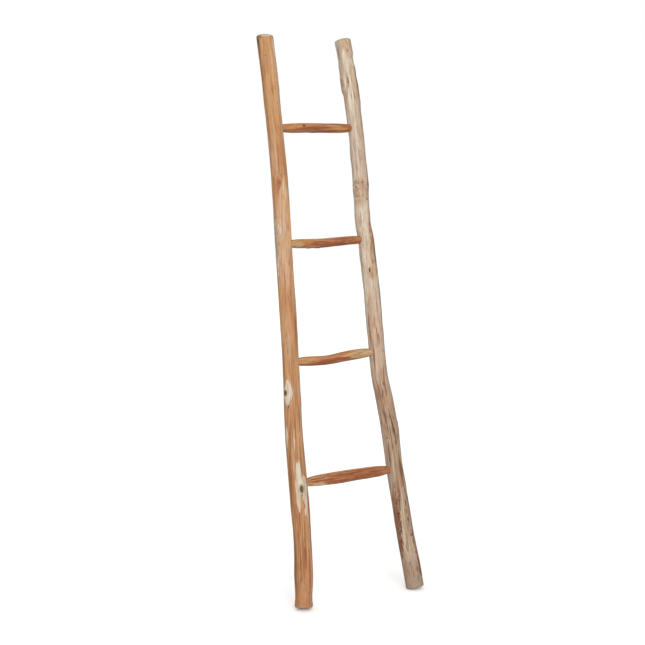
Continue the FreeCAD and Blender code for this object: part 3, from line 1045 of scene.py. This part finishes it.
RIGHT_MARKS = (
    (add_leaf, "blush", (1092, -35, 104, 60, 0.8), (700, -40, 300, 34, 0.7), (900, -20, 120, 20, 0.4),
        (520, -30, 140, 36, 0.7)),
    (add_leaf, "warm", (1502, -22, 50, 30, 0.6), (1096, -35, 84, 36, 0.3), (524, -32, 50, 12, 1, 0.12),
        (18, -38, 20, 17, 0.9), (940, 4, 150, 12, 0.6, 0.07), (740, -55, 120, 9, 0.5),
        (360, -20, 160, 12, 0.6, 0.04), (600, -20, 140, 10, 0.2), (868, -16, 52, 24, 1, 0.1),
        (1390, 10, 180, 16, 0.5), (190, -70, 220, 20, 0.8, 0.08), (1440, -15, 80, 10, 0.4)),
    (add_leaf, "pale_and_highlight", (1462, -42, 90, 22, 0.7), (1412, -66, 60, 7, 0.9), (1406, -30, 64, 6, 0.9),
        (1350, -52, 90, 7, 0.8, 0.05), (1352, -24, 70, 5, 0.7), (190, -34, 210, 15, 0.62, 0.13),
        (55, -30, 8, 5, 0.6), (800, -30, 160, 12, 0.4), (610, -48, 110, 6, 0.5),
        (330, -45, 110, 6, 0.5, 0.05), (120, -20, 80, 6, 0.6, 0.1)),
    (add_leaf, "red", (1491, -14, 15, 7, 0.7), (945, 5, 130, 4, 0.8, 0.07), (684, -73, 64, 6, 1, 0.04),
        (680, -15, 50, 7, 0.7), (488, -23, 14, 5, 0.8), (289, 8, 34, 8, 1, 0.02),
        (262, -34, 50, 8, 0.8, 0.05), (127, -63, 22, 5, 1), (540, -60, 90, 6, 0.5),
        (740, -35, 70, 5, 0.7), (585, -5, 80, 6, 0.7, 0.05), (860, -20, 50, 5, 0.7, 0.05)),
    (add_leaf, "brown_and_shade", (185, -92, 210, 8, 0.8, 0.04), (945, 27, 120, 5, 1),
        (440, -12, 120, 7, 0.9, -0.1), (470, -50, 110, 7, 0.8), (640, -60, 110, 5, 0.8),
        (690, -28, 90, 4, 0.8), (330, 10, 130, 8, 0.9), (1490, -88, 60, 8, 0.6), (110, 26, 110, 7, 0.9),
        (720, -78, 90, 6, 0.9), (560, -12, 90, 4, 0.8, 0.05), (410, -34, 100, 4, 0.8),
        (770, 30, 160, 5, 0.7), (1400, 22, 120, 6, 0.6), (360, -62, 120, 6, 0.8, 0.05),
        (220, 46, 300, 10, 0.9), (420, 46, 160, 7, 0.8)),
    (add_leaf, "dark", (1071, 9, 10, 4, 1), (531, -43, 20, 3, 0.9, 0.1), (440, -9, 70, 2.4, 0.8, -0.1),
        (436, -22, 50, 2, 0.7, -0.1), (117, -33, 10, 4, 1), (96, 15, 10, 4, 1), (1402, -43, 8, 3, 0.5),
        (940, 31, 110, 6, 1), (560, 42, 190, 3, 0.8)),
    (add_leaf, "grey", (74, -14, 46, 18, 0.7), (300, -75, 200, 14, 0.5), (20, 0, 60, 70, 0.6),
        (1480, -80, 90, 12, 0.6)),
    (add_flecks, "red", (1096, -35, 90, 64, 16, 0.5)),
    (add_blotches, "brown_and_shade", (1094, 84, 5, 0.6)),
    (add_blotches, "grey", (1085, 110, 6, 0.4)),
    (add_blotches, "red", (1100, 70, 6, 0.4)),
    (add_blotches, "pale_and_highlight", (1066, 60, 4, 0.25)),
    (add_flecks, "red", (950, 3, 130, 10, 16, 1, 0.07)),
    (add_flecks, "brown_and_shade", (940, 18, 120, 8, 12, 0.9)),
    (add_flecks, "dark", (188, -61, 140, 11, 32, 1, 0.1)),
    (add_flecks, "brown_and_shade", (190, -68, 200, 18, 44, 1, 0.1)),
    (add_flecks, "red", (190, -72, 210, 22, 34, 1, 0.1), (80, -20, 120, 50, 18, 0.6)),
    (add_flecks, "brown_and_shade", (640, -30, 160, 60, 20, 0.6), (480, -20, 160, 60, 24, 0.7)),
    (add_flecks, "grey", (425, -30, 140, 60, 30, 0.8)),
    (add_flecks, "brown_and_shade", (415, -20, 130, 60, 20, 0.7), (190, 20, 260, 18, 44, 0.9)),
    (add_flecks, "grey", (190, 24, 260, 18, 20, 0.9)),
    (add_flecks, "pale_and_highlight", (1010, -66, 170, 26, 24, 0.7)),
    (add_leaf, "brown_and_shade", (190, -76, 230, 14, 0.6, 0.06)),
    (add_leaf, "red", (200, -82, 240, 12, 0.7, 0.06)),
    (add_flecks, "red", (866, -18, 46, 18, 10, 0.5)),
    (add_flecks, "warm", (62, -40, 120, 70, 30, 0.9)),
    (add_flecks, "grey", (50, -50, 90, 70, 26, 0.9)),
    (add_flecks, "brown_and_shade", (70, -30, 130, 70, 22, 0.8)),
)
RIGHT_KNOTS = ((1400, -108, 26, 18, 1.9, 0.06), (873, -36, 13, 4, 0.5, 1))
RIGHT_CHECKS = ((1412, -47, 50, 0.9, 1.6), (1404, -41, 34, 0.8, 1.2), (1362, -37, 44, 0.8, 1.2),
    (200, -60, 90, 0.9, 1.2, 0.1), (40, -31, 26, 1.0, 1.2), (38, -24, 22, 0.9, 1.0),
    (760, -10, 130, 0.8, 1.0))

BOTTOM_MARKS = (
    # the pale patch at 306 mm, on top of the right end, is a painted highlight
    (add_leaf, "pale_and_highlight", (72, 36, 56, 15, 1, 0.1), (46, 62, 64, 11, 1), (306, -75, 22, 10, 1)),
    (add_leaf, "blush", (56, -30, 90, 16, 0.7), (40, 10, 60, 14, 0.6)),
    (add_leaf, "warm", (48, 5, 64, 14, 0.8), (150, -70, 180, 5, 0.8), (120, 5, 140, 4, 0.8)),
    (add_leaf, "grey", (46, 66, 50, 8, 0.6)),
    (add_flecks, "red", (150, 10, 200, 30, 24, 1)),
    (add_flecks, "brown_and_shade", (170, 0, 200, 40, 14, 0.8)),
    (add_leaf, "red", (150, -37, 150, 7, 1), (105, -5, 120, 5, 1), (230, 10, 120, 6, 1),
        (135, 20, 90, 5, 1, 0.05), (200, -60, 160, 4, 0.9), (190, 40, 140, 6, 1), (60, -10, 70, 6, 1)),
    # the long brown strip near turn 75 darkens the underside, partly painted shade
    (add_leaf, "brown_and_shade", (60, -35, 80, 4, 1), (200, 75, 180, 8, 0.8), (260, -20, 90, 4, 0.9)),
)
BOTTOM_KNOTS = ((210, 140, 9, 6, 0.5, 1),)

LOWER_MARKS = (
    (add_leaf, "blush", (262, -5, 170, 48, 1), (42, -30, 90, 16, 0.8), (205, -30, 110, 9, 0.9, -0.1)),
    (add_leaf, "pale_and_highlight", (255, -20, 60, 5, 0.6, -0.1)),
    (add_leaf, "warm", (60, -15, 90, 18, 0.8), (160, -40, 140, 8, 0.7, -0.05)),
    (add_leaf, "red", (140, 15, 130, 14, 1), (80, 50, 120, 7, 1), (120, -15, 90, 4, 0.9)),
    # the long brown strip near turn 70 darkens the underside, partly painted shade
    (add_leaf, "brown_and_shade", (130, 70, 200, 9, 0.9), (240, 60, 90, 6, 0.8)),
)
LOWER_KNOTS = ((167, -2, 9, 5, 0.4, 0.3),)

UPPER_MARKS = (
    (add_leaf, "blush", (46, 5, 50, 22, 1), (44, -30, 44, 12, 1)),
    (add_leaf, "warm", (70, -15, 90, 14, 0.8), (245, -15, 60, 14, 0.6), (150, -60, 200, 6, 0.7)),
    (add_leaf, "red", (150, 15, 130, 7, 1), (160, 50, 120, 6, 1), (120, -20, 80, 4, 0.9),
        (200, 0, 90, 4, 0.9)),
    # the long brown strip near turn 75 darkens the underside, partly painted shade
    (add_leaf, "brown_and_shade", (140, 75, 220, 8, 0.9), (200, 30, 110, 4, 0.8)),
    (add_flecks, "red", (160, 5, 180, 26, 18, 0.9)),
)
UPPER_KNOTS = ((88, 70, 9, 8, 0.9, 0.3), (118, 75, 9, 8, 0.9, 0.3))

TOP_MARKS = (
    (add_leaf, "warm", (60, -20, 80, 14, 1), (210, 10, 80, 10, 0.9)),
    (add_leaf, "red", (130, 0, 130, 8, 1), (170, 50, 90, 6, 0.9)),
    (add_leaf, "pale_and_highlight", (190, -30, 90, 5, 0.8, 0.05)),
    # the long brown strip near turn 75 darkens the underside, partly painted shade
    (add_leaf, "brown_and_shade", (130, 75, 200, 8, 0.9)),
)
TOP_KNOTS = ((96, -28, 10, 6, 0.5, 0.7),)

LEFT_SWELLINGS = ((1440, 56, 320, 2.0),)
RIGHT_SWELLINGS = ((1370, 56, 110, 2.6), (1138, 56, 104, 2.4), (1466, 56, 46, -2.6), (1440, -124, 70, 2.0),
    (1395, -124, 60, 1.6), (1405, -45, 70, -1.2))
BARK = ((53, 31, 62, 9, 0.02), (63, 24, 44, 6, 0.06), (42, 22, 34, 6, -0.04), (46, 38, 42, 8, 0.03))
RUNGS = {
    "bottom": (BOTTOM_MARKS, BOTTOM_KNOTS), "lower": (LOWER_MARKS, LOWER_KNOTS),
    "upper": (UPPER_MARKS, UPPER_KNOTS), "top": (TOP_MARKS, TOP_KNOTS),
}


def make_left_stile():
    skin = Skin(Branch("left_stile", 2, STILE_COLUMNS, STILE_GAP, STILE_ARRIS), LEFT_SEED)
    furrow(skin, depth=0.22 * MM)
    shave(skin, count=70, length=220 * MM, depth=0.55 * MM)
    skin.refill(proud=0.25 * MM)
    for row in LEFT_SWELLINGS:
        swell(skin, *row)
    scatter(skin, (60, 230), knots=6, checks=5, streaks=16)
    dress(skin, LEFT_MARKS, LEFT_KNOTS, LEFT_CHECKS)
    keep_inside(skin)
    slant_top(skin, turn=-120, rise=4.5 * MM)
    round_ends(skin, STILE_ARRIS, LEFT_TOP_ARRIS)
    nick = skin.leaf(1508 * MM, -106, 18 * MM, 8 * MM)
    skin.radius -= 1.2 * MM * nick
    # The stile is painted darker towards the foot.
    skin.paint("stain_and_shade", 0.8 * below(skin, 420, 300))
    material = wood_material("heartwood", HEARTWOOD, mottle=0.28, soft=0.35)
    return make_piece("left_stile_wood", skin, material)


def make_right_stile():
    skin = Skin(Branch("right_stile", 2, STILE_COLUMNS, STILE_GAP, STILE_ARRIS), RIGHT_SEED)
    furrow(skin, depth=0.42 * MM)
    above_foot = smooth((skin.along - 100 * MM) / (100 * MM))
    skin.radius += 1.3 * MM * skin.noise(48 * MM, 5) * above_foot
    shave(skin, count=30, length=160 * MM, depth=0.4 * MM)
    skin.refill(proud=0.3 * MM)
    for row in RIGHT_SWELLINGS:
        swell(skin, *row)
    scatter(skin, (60, 230), knots=7, checks=6, streaks=14)
    dress(skin, RIGHT_MARKS, RIGHT_KNOTS, RIGHT_CHECKS)
    keep_inside(skin)
    round_ends(skin, STILE_ARRIS, STILE_ARRIS)
    scale = np.zeros_like(skin.radius)
    for along, turn, length, width, lean in BARK:
        scale = np.maximum(scale, skin.leaf(along * MM, turn, length * MM, width * MM, lean))
    skin.paint("bark", scale)
    skin.radius += scale * (0.5 * MM * skin.noise(7 * MM, 40) - 0.5 * MM)
    # The stile is painted darker towards the bottom, less where the wood is pale.
    lower = below(skin, 690, 180) * (1 - 0.5 * skin.masks["pale_and_highlight"])
    skin.paint("stain_and_shade", lower * (0.7 + 0.3 * skin.noise(90 * MM, 6)))
    # Painted shade: the right flank is darkened all along the stile.
    shaded_flank = smooth(1.25 * np.cos(skin.turn - math.radians(80)) - 0.05)
    skin.paint("stain_and_shade", shaded_flank * (0.85 + 0.25 * skin.noise(60 * MM, 5)))
    # Painted shadow: the left side of the foot is darkened.
    shaded_left_edge = smooth((np.cos(skin.turn + math.radians(135)) - 0.55) / 0.3)
    skin.paint("stain_and_shade", 0.95 * below(skin, 340, 140) * shaded_left_edge)
    # The bottom rim and the foot are darker, partly painted shade.
    skin.paint("stain_and_shade", 0.9 * below(skin, 9, 9))
    skin.paint("stain_and_shade", 0.9 * below(skin, 130, 70))
    material = wood_material("weathered_wood", WEATHERED, mottle=0.45, soft=1.0)
    return make_piece("right_stile_wood", skin, material)


def make_rungs():
    material = wood_material("rung_wood", RUNG_WOOD, mottle=0.32, soft=0.5)
    rungs = {}
    for index, (place, tables) in enumerate(RUNGS.items()):
        branch = Branch(f"{place}_rung", 0, RUNG_COLUMNS, RUNG_GAP, RUNG_ARRIS)
        skin = Skin(branch, RUNG_SEED + RUNG_SEED_STEP * index)
        furrow(skin, depth=0.15 * MM)
        shave(skin, count=24, length=80 * MM, depth=0.35 * MM)
        skin.refill(proud=0)
        scatter(skin, (95, 250), knots=1, checks=2, streaks=6)
        dress(skin, *tables)
        keep_tenons_bare(skin)
        round_ends(skin, RUNG_ARRIS, RUNG_ARRIS)
        rungs[place] = make_piece(f"{place}_rung_wood", skin, material), skin
    return rungs


# Stage


def make_floor():
    """A pale floor that looks white to the camera and keeps the ladder's shadow."""
    mesh = bpy.data.meshes.new("floor")
    corners = [(FLOOR_HALF * x, FLOOR_HALF * y, 0) for x, y in ((-1, -1), (1, -1), (1, 1), (-1, 1))]
    mesh.from_pydata(corners, [], [(0, 1, 2, 3)])
    shade = Shade(bpy.data.materials.new("floor"))
    greys = [(level, level, level, 1) for level in (FLOOR_TONE, FLOOR_SEEN)]
    diffuse = shade.add("ShaderNodeBsdfDiffuse", shade.mix(shade.seen(), *greys))
    shade.put(shade.tree.nodes["Material Output"].inputs["Surface"], diffuse.outputs[0])
    mesh.materials.append(shade.owner)
    floor = show("floor", mesh)


def make_world():
    """Even soft light all round, white where the camera looks past the floor."""
    shade = Shade(bpy.data.worlds.new("studio"))
    background = shade.tree.nodes["Background"]
    background.inputs["Color"].default_value = (1, 1, 1, 1)
    level = shade.maths("MULTIPLY_ADD", shade.seen(), SKY_SEEN - SKY_LIGHT, SKY_LIGHT)
    shade.put(background.inputs["Strength"], level)
    bpy.context.scene.world = shade.owner


def add_sun(name, strength, spread, towards):
    """A soft lamp that shines along a direction."""
    lamp = bpy.data.lights.new(name, "SUN")
    lamp.energy = strength
    lamp.angle = math.radians(spread)
    holder = show(name, lamp)
    holder.rotation_euler = Vector(towards).to_track_quat("-Z", "Y").to_euler()


def make_camera():
    data = bpy.data.cameras.new("camera")
    data.lens = CAMERA_LENS
    data.sensor_width = CAMERA_SENSOR
    camera = show("camera", data)
    camera.location = CAMERA_PLACE
    camera.rotation_euler = (math.radians(90 - CAMERA_DROP), 0, -math.radians(CAMERA_YAW))
    bpy.context.scene.camera = camera


make_floor()
make_world()
for sun in SUNS:
    add_sun(*sun)
make_camera()
stiles = {"left": make_left_stile(), "right": make_right_stile()}
bore_joints(stiles, make_rungs())
steel = nail_material()
for name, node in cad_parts.items():
    if name.endswith("_nail"):
        node.data.materials.clear()
        node.data.materials.append(steel)

bpy.context.scene.view_settings.view_transform = "Standard"
